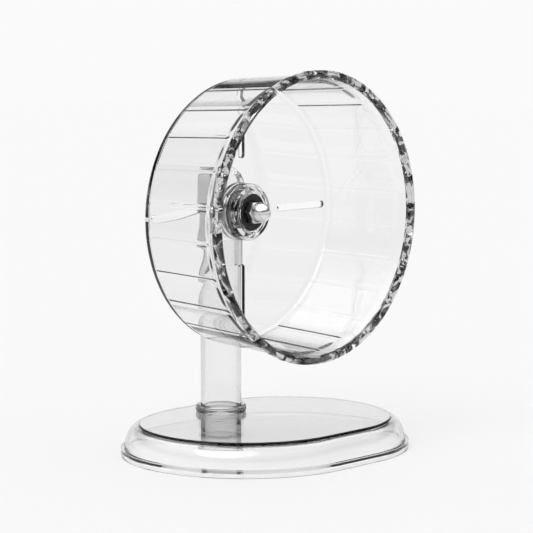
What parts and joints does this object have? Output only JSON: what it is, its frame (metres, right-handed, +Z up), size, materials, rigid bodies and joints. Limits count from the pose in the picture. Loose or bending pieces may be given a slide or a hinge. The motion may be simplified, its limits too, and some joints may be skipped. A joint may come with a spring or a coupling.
{
  "type": "rodent exercise wheel",
  "caption": "Clear running drum with inner treads, turning on ball bearings at the head of a round column that stands in a hollow oval base.",
  "frame": {"origin": "middle of the oval base, on the surface it stands on", "axes": "+Z up, the drum's mouth faces -Y, the axle lies along Y, the base's long side lies along X"},
  "size_m": [0.1924, 0.1568, 0.239],
  "materials": {
    "clear_plastic": "clear, polished",
    "clear_silicone": "clear, soft",
    "black_plastic": "matte",
    "black_seal": "matte",
    "bearing_steel": "ground",
    "polished_steel": "polished",
    "nylon": "matte"
  },
  "bodies": {
    "base": {"base_shell": "clear_plastic", "column_socket": "clear_plastic", "grip_ring": "clear_silicone"},
    "collar": {"clamp_collar": "clear_plastic"},
    "column": {"column_tube": "clear_plastic", "axle_head": "clear_plastic", "axle_bolt": "polished_steel", "acorn_nut": "polished_steel", "rear_washer": "bearing_steel", "head_spacer": "bearing_steel", "inner_race_spacer": "bearing_steel", "front_bearing_inner_race": "bearing_steel", "rear_bearing_inner_race": "bearing_steel"},
    "wheel": {"wheel_drum": "clear_plastic", "front_rim": "clear_plastic", "bearing_hub": "clear_plastic", "hub_ring_nut": "clear_plastic", "bearing_retainer": "black_plastic", "front_bearing_outer_race": "bearing_steel", "front_bearing_seals": "black_seal", "rear_bearing_outer_race": "bearing_steel", "rear_bearing_seals": "black_seal"},
    "front_ball_set": {"front_bearing_balls": "bearing_steel", "front_bearing_cage": "nylon"},
    "rear_ball_set": {"rear_bearing_balls": "bearing_steel", "rear_bearing_cage": "nylon"}
  },
  "joints": [
    {"name": "wheel_spin", "type": "hinge", "parent": "column", "child": "wheel", "pos_m": [0, 0, 0.149], "axis": [0, 1, 0], "continuous": true},
    {"name": "front_balls_roll", "type": "hinge", "parent": "column", "child": "front_ball_set", "pos_m": [0, 0, 0.149], "axis": [0, 1, 0], "continuous": true},
    {"name": "rear_balls_roll", "type": "hinge", "parent": "column", "child": "rear_ball_set", "pos_m": [0, 0, 0.149], "axis": [0, 1, 0], "continuous": true},
    {"name": "column_turn", "type": "hinge", "parent": "base", "child": "column", "pos_m": [0, 0.0398, 0], "axis": [0, 0, 1], "range_deg": [-90, 90]},
    {"name": "collar_turn", "type": "hinge", "parent": "base", "child": "collar", "pos_m": [0, 0.0398, 0], "axis": [0, 0, 1], "range_deg": [0, 90]}
  ],
  "couplings": [
    {"joint": "front_balls_roll", "follows": "wheel_spin", "ratio": 0.632},
    {"joint": "rear_balls_roll", "follows": "wheel_spin", "ratio": 0.632}
  ]
}
